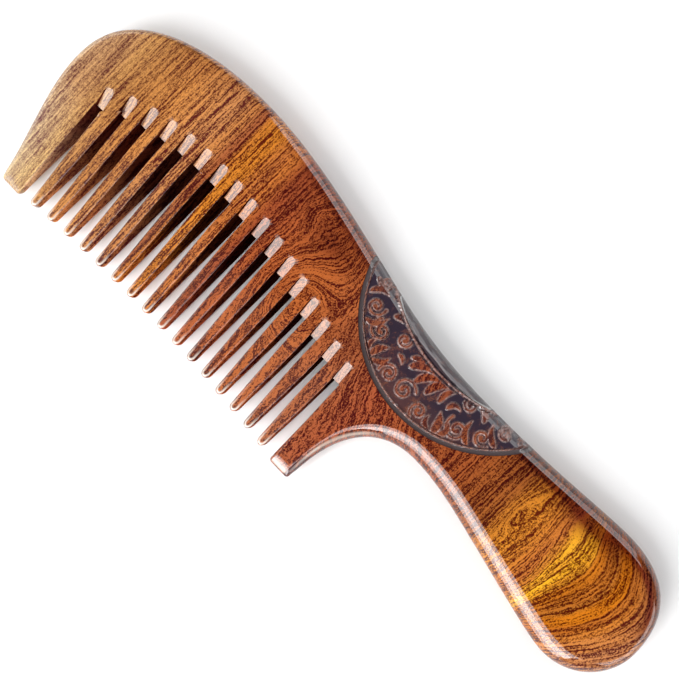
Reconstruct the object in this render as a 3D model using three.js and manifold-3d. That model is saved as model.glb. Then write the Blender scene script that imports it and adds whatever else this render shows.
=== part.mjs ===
// Wide-tooth wooden comb with a shaped handle and a carved medallion on the neck.
// It is worked from one flat board and lies on its back face.
// Millimetres. +X runs from the rounded head to the handle's end, the teeth point to -Y, +Z is up.
// The origin is under the middle of the comb, on the surface that it lies on.
import * as THREE from "three";
import { mergeVertices } from "three/addons/utils/BufferGeometryUtils.js";
import Module from "manifold-3d";

const wasm = await Module();
wasm.setup();

// Board
const THICKNESS = 10;
const EDGE_ROUND = 2.4; // how far the rounded edge reaches in from the outline
const EDGE_DROP = 3.6; // how far it reaches down from each face
const TIP_Y = -28.8; // the guard teeth end here
const BLANK_Y = -34; // the uncut board reaches this far, past the tips
const REACH = 120; // half the size of a cutting block, larger than the comb
const SEAM = 0.3; // clearance between neighbouring pieces

// Teeth and slots
const TOOTH_COUNT = 16;
const SLOT_COUNT = TOOTH_COUNT + 1;
const SLOT_PITCH = 5.31;
const FIRST_SLOT_WIDTH = 2.75;
const SLOT_NARROWING = 0.0018; // the slots get narrower, by this times the square of their number
const FIRST_SLOT_X = -80;
const TIP_PITCH = 5.25;
const TIP_BOW = 0.7; // how far the middle tips stand out of even spacing, towards the handle
const FIRST_TIP_X = -75.9;
const TIP_HALF_WIDTH = 0.85;
const BULLET_LENGTH = 1.9; // the rounded end of a tooth
const FLANK_STEPS = 6;
const BULLET_STEPS = 5;
const TIP_ROW_Y = -26.2; // the middle tips end here
const TIP_ROW_SAG = 7.4; // times the square of a tooth's distance from the middle of the row
const GUARD_CORNER = 1.4; // rounding of a guard tooth's corners
const OUTER_GUARD_TIP = { slotSide: -80.1, outerSide: -86.7 };
const INNER_GUARD_TIP = { slotSide: 6.9, outerSide: 12.9 };
const INNER_GUARD_ROOT_END = [18.5, -11.8]; // where its root reaches the finger recess

// The tooth zone is a wedge: full thickness at the roots, thin at the tips
const WEDGE_START_Y = 3;
const WEDGE_END_Y = -29.5;
const WEDGE_END_HALF = 1.3;

// A tapered groove leads into the root of each slot on both faces
const RAMP_LENGTH = 5.1;
const RAMP_DEPTH = 1.7;
const RAMP_INSET = 0.15; // how much narrower than its slot a groove is
const RAMP_LEAN = THREE.MathUtils.degToRad(3.6);
const FIRST_RAMP_LEAN = THREE.MathUtils.degToRad(8.4); // extra lean, fading out over a few slots
const LEAN_FADE = 1.7;

// Neck
const HANDLE_JOINT_X = 26;
const MEDALLION = { x: 20, y: 30.6, radius: 30.7 };
const BOSS = { x: 21, y: 49.8, radius: 36 };
const BORDER_WIDTH = 0.9; // the border groove is cut around the medallion's rim
const RIDGE_WIDTH = 0.8; // the ridge between the border groove and the lowered ground
const CARVING_DEPTH = 0.6;
const RIM_SEGMENTS = 96;

const WOOD_TAN = new THREE.MeshStandardMaterial({ color: 0xb98048, roughness: 0.42, metalness: 0 });
const WOOD_RED = new THREE.MeshStandardMaterial({ color: 0x9a4a1c, roughness: 0.36, metalness: 0 });
const WOOD_DARK = new THREE.MeshStandardMaterial({ color: 0x3b2a2a, roughness: 0.5, metalness: 0 });

// ---- solids ----

function solidOf(geometry) {
  const bare = geometry.clone();
  bare.deleteAttribute("normal");
  bare.deleteAttribute("uv");
  const merged = mergeVertices(bare, 1e-4);
  return new wasm.Manifold(
    new wasm.Mesh({
      numProp: 3,
      vertProperties: new Float32Array(merged.attributes.position.array),
      triVerts: new Uint32Array(merged.index.array),
    }),
  );
}

function geometryOf(solid) {
  const made = solid.getMesh();
  const geometry = new THREE.BufferGeometry();
  geometry.setAttribute("position", new THREE.BufferAttribute(made.vertProperties, 3));
  geometry.setIndex(new THREE.BufferAttribute(made.triVerts, 1));
  geometry.computeVertexNormals();
  return geometry;
}

// A vertical prism over a closed outline, from z = low to z = high.
function prismOver(shape, low, high) {
  const geometry = new THREE.ExtrudeGeometry(shape, {
    depth: high - low,
    bevelEnabled: false,
    curveSegments: 8,
  });
  return solidOf(geometry.translate(0, 0, low));
}

function prism(points, low, high) {
  return prismOver(new THREE.Shape(points.map(([x, y]) => new THREE.Vector2(x, y))), low, high);
}

function disc(centre, radius, low, high) {
  const geometry = new THREE.CylinderGeometry(radius, radius, high - low, RIM_SEGMENTS);
  geometry.rotateX(Math.PI / 2).translate(centre.x, centre.y, (low + high) / 2);
  return solidOf(geometry);
}

const BELOW = -1;
const ABOVE = THICKNESS + 1;

// ---- the board's outline ----

// Clockwise from the outer guard: round the head, along the back edge to the handle's end, and
// back through the finger recess to the inner guard. The blank runs on past the tips.
function boardOutline() {
  const outline = new THREE.Shape();
  outline.moveTo(-86.7, -27.6);
  outline.bezierCurveTo(-88.7, -17, -94.1, -6.5, -94.1, 5.7);
  outline.bezierCurveTo(-94.1, 25.2, -69, 28.8, -54, 28.8);
  outline.bezierCurveTo(-38.6, 28.8, -23, 25.3, -8, 21.85);
  outline.bezierCurveTo(9.7, 17.75, 17, 16.35, 34, 16.35);
  outline.bezierCurveTo(54, 16.35, 68, 18.4, 76, 18.4);
  outline.bezierCurveTo(88, 18.4, 95, 12.4, 95, 0);
  outline.bezierCurveTo(95, -6.2, 89.8, -13.8, 80.5, -13.8);
  outline.bezierCurveTo(76.5, -13.8, 66, -11.05, 54, -8.3);
  outline.bezierCurveTo(45.7, -6.4, 38.8, -4.45, 30.5, -4.45);
  outline.bezierCurveTo(19.3, -4.45, 14.3, -12.7, 13.4, -23);
  outline.lineTo(12.4, BLANK_Y);
  outline.lineTo(-85.3, BLANK_Y);
  outline.closePath();
  return outline;
}

const board = solidOf(
  new THREE.ExtrudeGeometry(boardOutline(), {
    depth: THICKNESS - 2 * EDGE_DROP,
    curveSegments: 14,
    bevelThickness: EDGE_DROP,
    bevelSize: EDGE_ROUND,
    bevelOffset: -EDGE_ROUND,
    bevelSegments: 4,
  }).translate(0, 0, EDGE_DROP),
);

// ---- the roots of the slots ----

// The slots end on a shallow arch that follows the back edge.
const rootArch = new THREE.SplineCurve([
  new THREE.Vector2(-80, -0.2),
  new THREE.Vector2(-74.7, 2.3),
  new THREE.Vector2(-64, 5.15),
  new THREE.Vector2(-48, 6.3),
  new THREE.Vector2(-22, 2.8),
  new THREE.Vector2(5, -4.9),
]);

function slotX(index) {
  return FIRST_SLOT_X + SLOT_PITCH * index;
}

function slotWidth(index) {
  return FIRST_SLOT_WIDTH - SLOT_NARROWING * index ** 2;
}

function slotRootY(index) {
  const places = rootArch.getPoints(400);
  const after = places.findIndex((place) => place.x >= slotX(index));
  return places[Math.max(after, 0)].y;
}

// The line between the back and the teeth: across each slot's end and along each tooth's root.
function seamLine(shift) {
  const line = [[-REACH, slotRootY(0) + shift]];
  for (let slot = 0; slot < SLOT_COUNT; slot += 1) {
    line.push([slotX(slot) - slotWidth(slot) / 2, slotRootY(slot) + shift]);
    line.push([slotX(slot) + slotWidth(slot) / 2, slotRootY(slot) + shift]);
  }
  line.push([INNER_GUARD_ROOT_END[0], INNER_GUARD_ROOT_END[1] + shift]);
  return line;
}

function toothZone(shift) {
  const corners = [
    [INNER_GUARD_ROOT_END[0], -REACH],
    [-REACH, -REACH],
  ];
  return prism([...seamLine(shift), ...corners], BELOW, ABOVE);
}

// The wedge-shaped side profile that all the teeth share.
function wedge() {
  const mid = THICKNESS / 2;
  const profile = new THREE.Shape();
  profile.moveTo(REACH, 0);
  profile.lineTo(REACH, THICKNESS);
  profile.lineTo(WEDGE_START_Y, THICKNESS);
  profile.lineTo(WEDGE_END_Y, mid + WEDGE_END_HALF);
  profile.lineTo(WEDGE_END_Y, mid - WEDGE_END_HALF);
  profile.lineTo(WEDGE_START_Y, 0);
  profile.closePath();
  const geometry = new THREE.ExtrudeGeometry(profile, { depth: 2 * REACH, bevelEnabled: false });
  // The profile's own x and y become the comb's Y and Z, and it runs along the comb's X.
  geometry.rotateX(Math.PI / 2).rotateZ(Math.PI / 2).translate(-REACH, 0, 0);
  return solidOf(geometry);
}

const toothWedge = wedge();

// ---- teeth ----

function rootHalfWidth(index) {
  return (SLOT_PITCH - (slotWidth(index) + slotWidth(index + 1)) / 2) / 2;
}

function tipX(index) {
  const along = index / (TOOTH_COUNT - 1);
  return FIRST_TIP_X + TIP_PITCH * index + TIP_BOW * Math.sin(Math.PI * along);
}

function tipY(index) {
  const along = index / (TOOTH_COUNT - 1);
  return TIP_ROW_Y - TIP_ROW_SAG * (along - 0.5) ** 2;
}

// The flanks run in gently from the root, and the tooth ends in a round bullet shape.
function toothOutline(root, rootHalf, tip) {
  const axis = tip.clone().sub(root);
  const length = axis.length();
  axis.normalize();
  const across = new THREE.Vector2(-axis.y, axis.x);
  const straight = length - BULLET_LENGTH;
  const outline = [];
  const addPair = (distance, half) => {
    const centre = root.clone().addScaledVector(axis, distance);
    const left = centre.clone().addScaledVector(across, -half);
    const right = centre.clone().addScaledVector(across, half);
    outline.unshift([left.x, left.y]);
    outline.push([right.x, right.y]);
  };
  for (let step = 0; step <= FLANK_STEPS; step += 1) {
    const along = step / FLANK_STEPS;
    const taper = along ** 2;
    addPair(straight * along, rootHalf + (TIP_HALF_WIDTH - rootHalf) * taper);
  }
  for (let step = 1; step < BULLET_STEPS; step += 1) {
    const turn = (step / BULLET_STEPS) * (Math.PI / 2);
    addPair(straight + BULLET_LENGTH * Math.sin(turn), TIP_HALF_WIDTH * Math.cos(turn));
  }
  outline.push([tip.x, tip.y]);
  return outline;
}

function tooth(index) {
  const rootY = Math.max(slotRootY(index), slotRootY(index + 1));
  const root = new THREE.Vector2(slotX(index) + SLOT_PITCH / 2, rootY + 1);
  const tip = new THREE.Vector2(tipX(index), tipY(index));
  return prism(toothOutline(root, rootHalfWidth(index), tip), 0, THICKNESS)
    .intersect(toothWedge)
    .intersect(toothZone(-SEAM));
}

// The two wide guard teeth keep the board's own outer edge. The slot-side wall runs from the
// slot's root at rootX to the tip; far is the x of a line safely outside the board on the other
// side.
function guard(rootX, rootY, tip, far) {
  const { slotSide, outerSide } = tip;
  const outward = Math.sign(outerSide - slotSide);
  const region = new THREE.Shape();
  region.moveTo(far, rootY);
  region.lineTo(rootX, rootY);
  region.lineTo(slotSide, TIP_Y + GUARD_CORNER);
  region.quadraticCurveTo(slotSide, TIP_Y, slotSide + outward * GUARD_CORNER, TIP_Y);
  region.lineTo(outerSide - outward * GUARD_CORNER, TIP_Y);
  region.quadraticCurveTo(outerSide, TIP_Y, outerSide + outward, TIP_Y + 2 * GUARD_CORNER);
  region.lineTo(far, TIP_Y + 2 * GUARD_CORNER);
  region.closePath();
  return board
    .intersect(prismOver(region, BELOW, ABOVE))
    .intersect(toothWedge)
    .intersect(toothZone(-SEAM));
}

function outerGuard() {
  return guard(slotX(0) - slotWidth(0) / 2, slotRootY(0), OUTER_GUARD_TIP, -REACH);
}

function innerGuard() {
  const last = SLOT_COUNT - 1;
  return guard(slotX(last) + slotWidth(last) / 2, slotRootY(last), INNER_GUARD_TIP, REACH);
}

// ---- the head's back, with its ramps ----

// The tapered groove over one slot; side is 1 on the upper face and -1 on the lower face.
function ramp(index, side) {
  const lean = RAMP_LEAN + FIRST_RAMP_LEAN * Math.exp(-index / LEAN_FADE);
  const half = (slotWidth(index) - RAMP_INSET) / 2;
  const slope = Math.atan(RAMP_DEPTH / RAMP_LENGTH);
  const trace = new THREE.Shape();
  trace.moveTo(-half, -2 * RAMP_LENGTH);
  trace.lineTo(half, -2 * RAMP_LENGTH);
  trace.lineTo(half, -half);
  trace.absarc(0, -half, half, 0, Math.PI, false);
  trace.closePath();
  const geometry = new THREE.ExtrudeGeometry(trace, {
    depth: 2 * RAMP_DEPTH,
    bevelEnabled: false,
    curveSegments: 8,
  });
  if (side < 0) geometry.translate(0, 0, -2 * RAMP_DEPTH);
  geometry.rotateX(side * slope).rotateZ(lean);
  const topX = slotX(index) - RAMP_LENGTH * Math.tan(lean);
  geometry.translate(topX, slotRootY(index) + RAMP_LENGTH, side > 0 ? THICKNESS : 0);
  return solidOf(geometry);
}

function headBack() {
  const handleSide = prism(
    [
      [HANDLE_JOINT_X - SEAM / 2, -REACH],
      [REACH, -REACH],
      [REACH, REACH],
      [HANDLE_JOINT_X - SEAM / 2, REACH],
    ],
    BELOW,
    ABOVE,
  );
  let back = board
    .subtract(toothZone(0))
    .subtract(disc(MEDALLION, MEDALLION.radius, BELOW, ABOVE))
    .subtract(handleSide);
  for (let slot = 0; slot < SLOT_COUNT; slot += 1) {
    back = back.subtract(ramp(slot, 1)).subtract(ramp(slot, -1));
  }
  return back;
}

function handle() {
  const ownSide = prism(
    [
      [HANDLE_JOINT_X + SEAM / 2, -REACH],
      [REACH, -REACH],
      [REACH, REACH],
      [HANDLE_JOINT_X + SEAM / 2, REACH],
    ],
    BELOW,
    ABOVE,
  );
  return board
    .intersect(ownSide)
    .subtract(disc(MEDALLION, MEDALLION.radius, BELOW, ABOVE));
}

// ---- the carved neck ----

// A ring-shaped or round recess of the carving's depth, cut from both faces.
function carved(solid, outerRadius, innerRadius) {
  let left = solid;
  for (const [low, high] of [
    [THICKNESS - CARVING_DEPTH, ABOVE],
    [BELOW, CARVING_DEPTH],
  ]) {
    const whole = disc(MEDALLION, outerRadius, low, high);
    const cut = innerRadius > 0
      ? whole.subtract(disc(MEDALLION, innerRadius, BELOW - 1, ABOVE + 1))
      : whole;
    left = left.subtract(cut);
  }
  return left;
}

function medallion() {
  const rim = MEDALLION.radius - SEAM;
  const grooveInner = rim - BORDER_WIDTH;
  const blank = board
    .intersect(disc(MEDALLION, rim, BELOW, ABOVE))
    .subtract(disc(BOSS, BOSS.radius, BELOW, ABOVE));
  return carved(carved(blank, rim + 1, grooveInner), grooveInner - RIDGE_WIDTH, 0);
}

function edgeBoss() {
  return board
    .intersect(disc(BOSS, BOSS.radius - SEAM, BELOW, ABOVE))
    .intersect(disc(MEDALLION, MEDALLION.radius - SEAM, BELOW, ABOVE));
}

// ---- assembly ----

const comb = new THREE.Group();

function add(name, solid, material) {
  const mesh = new THREE.Mesh(geometryOf(solid), material.clone());
  mesh.name = name;
  comb.add(mesh);
}

add("head_back", headBack(), WOOD_TAN);
add("handle", handle(), WOOD_RED);
add("neck_medallion", medallion(), WOOD_DARK);
add("medallion_edge_boss", edgeBoss(), WOOD_DARK);
add("outer_guard_tooth", outerGuard(), WOOD_TAN);
for (let index = 0; index < TOOTH_COUNT; index += 1) {
  const number = String(index + 1).padStart(2, "0");
  add(`tooth_${number}`, tooth(index), index < TOOTH_COUNT / 2 ? WOOD_TAN : WOOD_RED);
}
add("inner_guard_tooth", innerGuard(), WOOD_RED);

export default comb;
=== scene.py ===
"""A wide-tooth wooden comb with a shaped handle and a carved medallion on its neck.

The comb lies on a pale floor. Its plan is drawn in millimetres in x and y, and its depth is measured
both ways from the plane half way through the board. Lengths turn into metres when a mesh is made.
"""
import math

import bpy
import numpy as np
from mathutils import Matrix, Vector
from mathutils.geometry import delaunay_2d_cdt


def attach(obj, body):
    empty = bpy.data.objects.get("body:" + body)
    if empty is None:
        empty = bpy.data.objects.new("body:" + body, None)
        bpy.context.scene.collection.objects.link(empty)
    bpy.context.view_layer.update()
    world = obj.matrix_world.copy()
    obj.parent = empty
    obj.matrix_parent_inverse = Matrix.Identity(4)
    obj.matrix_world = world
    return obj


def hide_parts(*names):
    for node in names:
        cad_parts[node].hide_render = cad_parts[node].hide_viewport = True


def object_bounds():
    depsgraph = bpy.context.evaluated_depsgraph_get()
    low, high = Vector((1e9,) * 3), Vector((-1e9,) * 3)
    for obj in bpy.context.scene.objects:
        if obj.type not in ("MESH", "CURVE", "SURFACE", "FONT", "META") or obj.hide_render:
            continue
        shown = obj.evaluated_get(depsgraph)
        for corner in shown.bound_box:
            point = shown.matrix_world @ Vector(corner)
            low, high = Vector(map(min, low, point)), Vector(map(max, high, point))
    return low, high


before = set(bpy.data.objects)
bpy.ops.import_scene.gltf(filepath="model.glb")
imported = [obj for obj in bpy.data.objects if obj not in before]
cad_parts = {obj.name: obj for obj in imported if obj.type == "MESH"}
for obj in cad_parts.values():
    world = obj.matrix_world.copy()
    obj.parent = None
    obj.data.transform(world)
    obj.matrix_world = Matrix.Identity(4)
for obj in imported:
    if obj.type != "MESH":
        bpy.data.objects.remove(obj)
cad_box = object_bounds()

MM = 0.001
LOW, HIGH = (np.array(corner) / MM for corner in cad_box)
MID_Z = (LOW[2] + HIGH[2]) / 2
HALF = (HIGH[2] - LOW[2]) / 2
TIP_Y = LOW[1]

# ---- the comb's plan

EDGE_SPACING = 0.3
ROUND_STEPS = 12  # rings from the edge of the board to the end of its rounding
CARVED_ROUND_STEPS = 14
BLOCK = 2000  # this many places are compared with a line at a time, to spare memory
WEDGE_START_Y = 3.0  # the tooth zone gets thinner from here down
WEDGE_EASE = 2.0
WEDGE_END_HALF = 1.3
WEDGE_FADE_X = (12, 27)  # the wedge fades out from the inner guard tooth to the handle

# The board's outer edge, clockwise from below the outer guard tooth to below the inner one.
EDGE_START = (-85.3, -34)
EDGE_CURVES = [
    ((-85.7, -32), (-86.2, -29.6), (-86.7, -27.6)), ((-88.7, -17), (-94.1, -6.5), (-94.1, 5.7)),
    ((-94.1, 25.2), (-69, 28.8), (-54, 28.8)), ((-38.6, 28.8), (-23, 25.3), (-8, 21.85)),
    ((9.7, 17.75), (17, 16.35), (34, 16.35)), ((54, 16.35), (68, 18.4), (76, 18.4)),
    ((88, 18.4), (95, 12.4), (95, 0)), ((95, -6.2), (89.8, -13.8), (80.5, -13.8)),
    ((76.5, -13.8), (66, -11.05), (54, -8.3)), ((45.7, -6.4), (38.8, -4.45), (30.5, -4.45)),
    ((19.3, -4.45), (14.3, -12.7), (13.4, -23)), ((13.1, -26.7), (12.7, -30), (12.4, -34)),
]

# How far in the rounding of the edge reaches, at places along it: x, y and reach.
EDGE_ROUNDING = [
    (-86.7, -27.6, 1.3), (-92, -8, 2.0), (-94.1, 5.5, 2.4), (-80, 24.5, 2.2), (-54, 28.8, 2.4),
    (-8, 21.8, 2.9), (34, 16.3, 2.9), (50, 16.6, 2.8), (76, 18.4, 2.9), (95, 0, 2.6),
    (80.5, -13.8, 5.5), (60, -9.7, 5.0), (40, -4.9, 4.8), (28, -4.5, 4.4), (19, -9, 3.4),
    (14.5, -17, 2.3), (13.2, -25, 1.9),
]


def smooth(low, high, value):
    t = np.clip((np.asarray(value, float) - low) / (high - low), 0, 1)
    return t * t * (3 - 2 * t)


def hump(value, rise, fall):
    """1 between two slopes: it rises over the first range and falls over the second."""
    return smooth(*rise, value) * (1 - smooth(*fall, value))


def bell(value, centre, width):
    return np.exp(-(((value - centre) / width) ** 2))


def hills(x, y, table):
    """The sum of round hills, each with its place, its size in x and y, and its height."""
    total = 0.0
    for at_x, at_y, wide, high, height in table:
        total = total + height * bell(x, at_x, wide) * bell(y, at_y, high)
    return total


def bezier(p0, p1, p2, p3, steps=120):
    t = np.linspace(0, 1, steps)[:, None]
    p0, p1, p2, p3 = (np.array(p, float) for p in (p0, p1, p2, p3))
    return (1 - t) ** 3 * p0 + 3 * (1 - t) ** 2 * t * p1 + 3 * (1 - t) * t**2 * p2 + t**3 * p3


def evenly(points, spacing):
    """The same line, with points at equal distances along it."""
    points = np.array(points, float)
    run = np.r_[0, np.cumsum(np.linalg.norm(np.diff(points, axis=0), axis=1))]
    keep = np.r_[True, np.diff(run) > 1e-9]
    points, run = points[keep], run[keep]
    marks = np.linspace(0, run[-1], max(2, round(run[-1] / spacing) + 1))
    return np.stack([np.interp(marks, run, points[:, k]) for k in range(points.shape[1])], 1)


class Edge:
    """A rounded edge: a line, and how far in from it the rounding reaches. inner is 1 where the
    wood lies to the right of the line and -1 where it lies to the left."""

    def __init__(self, points, reaches, inner=1):
        self.points = np.array(points, float)
        self.reaches = np.array(reaches, float)
        along = np.gradient(self.points, axis=0)
        along /= np.linalg.norm(along, axis=1)[:, None]
        self.inward = inner * np.stack([along[:, 1], -along[:, 0]], 1)

    def nearest(self, places):
        """Distance of each place from the line, and the rounding's reach there."""
        starts, ends = self.points[:-1], self.points[1:]
        spans = ends - starts
        lengths = np.einsum("ij,ij->i", spans, spans)
        distance = np.empty(len(places))
        reach = np.empty(len(places))
        for first in range(0, len(places), BLOCK):
            part = slice(first, first + BLOCK)
            block = places[part]
            gaps = block[:, None, :] - starts[None]
            t = np.clip(np.einsum("abi,bi->ab", gaps, spans) / lengths, 0, 1)
            gaps -= t[..., None] * spans[None]
            squares = np.einsum("abi,abi->ab", gaps, gaps)
            best = squares.argmin(1)
            row = np.arange(len(block))
            share = t[row, best]
            distance[part] = np.sqrt(squares[row, best])
            reach[part] = self.reaches[best] * (1 - share) + self.reaches[best + 1] * share
        return distance, reach

    def fullness(self, places):
        """0 at the edge, rising as a quarter ellipse to 1 where the rounding ends."""
        distance, reach = self.nearest(places)
        t = np.clip(distance / reach, 0, 1)
        return np.sqrt(1 - (1 - t) ** 2)

    def crossings(self, values):
        """Places along the line, as fractional indices, where the given values change sign."""
        at = np.nonzero(np.sign(values[:-1]) != np.sign(values[1:]))[0]
        return [i + values[i] / (values[i] - values[i + 1]) for i in at]

    def at(self, index):
        low = min(int(index), len(self.points) - 2)
        return self.points[low] + (index - low) * (self.points[low + 1] - self.points[low])

    def stretch(self, first, last):
        inside = self.points[math.floor(first) + 1 : math.ceil(last)]
        return np.vstack([self.at(first), inside, self.at(last)])

    def rings(self, first=0, last=None, steps=ROUND_STEPS, margin=8):
        """Lines inside the edge, between which the rounded surface turns by equal steps."""
        last = len(self.points) if last is None else last
        part = slice(max(0, math.floor(first) - margin), math.ceil(last) + margin)
        reach = self.reaches[part]
        lines = []
        for step in range(1, steps + 1):
            tilt = step / steps * math.pi / 2
            turn = np.arctan2(HALF * math.sin(tilt), reach * math.cos(tilt))
            depth = reach * (1 - np.cos(turn))
            lines.append(self.points[part] + self.inward[part] * depth[:, None])
        return lines


def outer_edge():
    curves = [np.array([EDGE_START])]
    start = EDGE_START
    for first, second, end in EDGE_CURVES:
        curves.append(bezier(start, first, second, end)[1:])
        start = end
    points = evenly(np.vstack(curves), EDGE_SPACING)
    marks = [int(np.hypot(*(points - (x, y)).T).argmin()) for x, y, _ in EDGE_ROUNDING]
    reaches = np.interp(np.arange(len(points)), marks, [reach for _, _, reach in EDGE_ROUNDING])
    return Edge(points, reaches)


EDGE = outer_edge()


def half_depth(y):
    """Half the board's thickness: full in the back and the handle, a wedge towards the tips."""
    down = np.maximum(0, WEDGE_START_Y - y)
    run = WEDGE_START_Y - TIP_Y
    ease = WEDGE_EASE * (1 - np.exp(-down / WEDGE_EASE))
    slope = (HALF - WEDGE_END_HALF) / (run - WEDGE_EASE)
    return HALF - slope * (down - ease)


def board_height(places):
    """Height of the board's surface above its middle plane; only the teeth get thinner."""
    thinned = 1 - smooth(*WEDGE_FADE_X, places[:, 0])
    depth = HALF + (half_depth(places[:, 1]) - HALF) * thinned
    return depth * EDGE.fullness(places)


def away_from_rounding(places):
    distance, reach = EDGE.nearest(places)
    return distance > reach + 0.2


# ---- slots and teeth

TOOTH_COUNT = 16
SLOT_COUNT = TOOTH_COUNT + 1
SLOT_PITCH = 5.31
FIRST_SLOT_WIDTH = 2.75
SLOT_NARROWING = 0.0018  # the slots get narrower, by this times the square of their number
FIRST_SLOT_X = -80.0
TIP_PITCH = 5.25
TIP_BOW = 0.7  # how far the middle tips stand out of even spacing, towards the handle
FIRST_TIP_X = -75.9
TIP_ROW_Y = -26.2  # the middle tips end here
TIP_ROW_SAG = 7.4  # times the square of a tooth's distance from the middle of the row
TIP_HALF_WIDTH = 1.07
BULLET_LENGTH = 1.4
TIP_RIM = 0.65  # how far in the rounding reaches round a tooth's tip
TIP_RIM_DROP = 0.42  # and how far down
RAMP_LENGTH = 5.2
RAMP_DEPTH = 1.75
RAMP_INSET = 0.2  # how much narrower than its slot a groove is
RAMP_WALL = 0.12  # how far in a groove's steep wall reaches
RAMP_ARC_POINTS = 15
RAMP_LEAN = math.radians(3.6)
FIRST_RAMP_LEAN = math.radians(8.4)  # extra lean, fading out over a few slots
LEAN_FADE = 1.7
SLOT_WALLS_X = (-82.2, 8.0)  # the sawn walls lie between these
SLOT_WALLS_Y = (-27.2, 12.0)

# The slots end on a shallow arch that follows the back edge.
ROOT_ARCH = [(-80, -0.2), (-74.7, 2.3), (-64, 5.15), (-48, 6.3), (-22, 2.8), (5, -4.9)]


def through(points, x):
    """A smooth curve through the points, read at x."""
    xs, ys = np.array(points, float).T
    slopes = np.gradient(ys, xs)
    k = int(np.clip(np.searchsorted(xs, x) - 1, 0, len(xs) - 2))
    span = xs[k + 1] - xs[k]
    t = (x - xs[k]) / span
    h00 = 2 * t**3 - 3 * t**2 + 1
    h10 = t**3 - 2 * t**2 + t
    h11 = t**3 - t**2
    return h00 * ys[k] + (1 - h00) * ys[k + 1] + span * (h10 * slopes[k] + h11 * slopes[k + 1])


def slot_x(slot):
    return FIRST_SLOT_X + SLOT_PITCH * slot


def slot_width(slot):
    return FIRST_SLOT_WIDTH - SLOT_NARROWING * slot**2


def slot_root(slot):
    return through(ROOT_ARCH, slot_x(slot))


def slot_corners(slot):
    """The two ends of a slot's root, the one nearer the head's round end first."""
    x, y = slot_x(slot), slot_root(slot)
    return (x - slot_width(slot) / 2, y), (x + slot_width(slot) / 2, y)


def tip_place(tooth):
    along = tooth / (TOOTH_COUNT - 1)
    x = FIRST_TIP_X + TIP_PITCH * tooth + TIP_BOW * math.sin(math.pi * along)
    return np.array([x, TIP_ROW_Y - TIP_ROW_SAG * (along - 0.5) ** 2])


def tooth_root(tooth):
    """The two ends of a tooth's root."""
    return np.array(slot_corners(tooth)[1]), np.array(slot_corners(tooth + 1)[0])


def tooth_axis(tooth):
    """The middle of a tooth's root, and its tip."""
    left, right = tooth_root(tooth)
    return (left + right) / 2, tip_place(tooth)


def ramp_frame(slot):
    """The top of the tapered groove over a slot, its direction downhill and its direction across."""
    lean = RAMP_LEAN + FIRST_RAMP_LEAN * math.exp(-slot / LEAN_FADE)
    down = np.array([math.sin(lean), -math.cos(lean)])
    foot = np.array([slot_x(slot), slot_root(slot)])
    return foot - down * RAMP_LENGTH, down, np.array([-down[1], down[0]])


def ramp_half_width(slot):
    return (slot_width(slot) - RAMP_INSET) / 2


def in_ramp_frame(slot, places):
    """How far places lie down the groove from its top, and how far beside its middle."""
    top, down, across = ramp_frame(slot)
    offset = places - top
    return offset @ down, np.abs(offset @ across)


def ramp_outline(slot, inset):
    top, down, across = ramp_frame(slot)
    radius = ramp_half_width(slot) - inset
    centre = top + down * ramp_half_width(slot)
    turn = np.linspace(math.pi, 0, RAMP_ARC_POINTS)
    arc = centre + radius * (np.cos(turn)[:, None] * across - np.sin(turn)[:, None] * down)
    reach = down * (RAMP_LENGTH + 1)
    return np.vstack([arc[0] + reach, arc, arc[-1] + reach])


def cut_ramps(places, height):
    """Lowers the surface inside the grooves, with steep walls along their sides."""
    for slot in range(SLOT_COUNT):
        along, side = in_ramp_frame(slot, places)
        radius = ramp_half_width(slot)
        outside = np.where(along < radius, np.hypot(side, along - radius), side) - radius
        wall = np.clip(-outside / RAMP_WALL, 0, 1)
        top_y = ramp_frame(slot)[0][1]
        floor = half_depth(top_y) - RAMP_DEPTH * along / RAMP_LENGTH
        height = height * (1 - wall) + np.minimum(height, floor) * wall
    return height


# ---- meshes


def inside(polygon, places):
    """Which places lie inside a closed outline."""
    found = np.zeros(len(places), bool)
    x, y = places[:, 0], places[:, 1]
    for (x0, y0), (x1, y1) in zip(polygon, np.roll(polygon, -1, axis=0)):
        if y0 == y1:
            continue
        spans = (y0 > y) != (y1 > y)
        found ^= spans & (x < (x1 - x0) * (y - y0) / (y1 - y0) + x0)
    return found


ROW_SPACING = 0.866  # of a grid of even-sided triangles, as a share of its spacing
RIM_CLEARANCE = 0.4  # grid points stay this far from the outline, as a share of the spacing
FLAT = 1e-4  # a point that stands less than this above the middle plane lies on it
NUDGE = 0.03  # the surface's slope is taken over this much to each side


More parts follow.
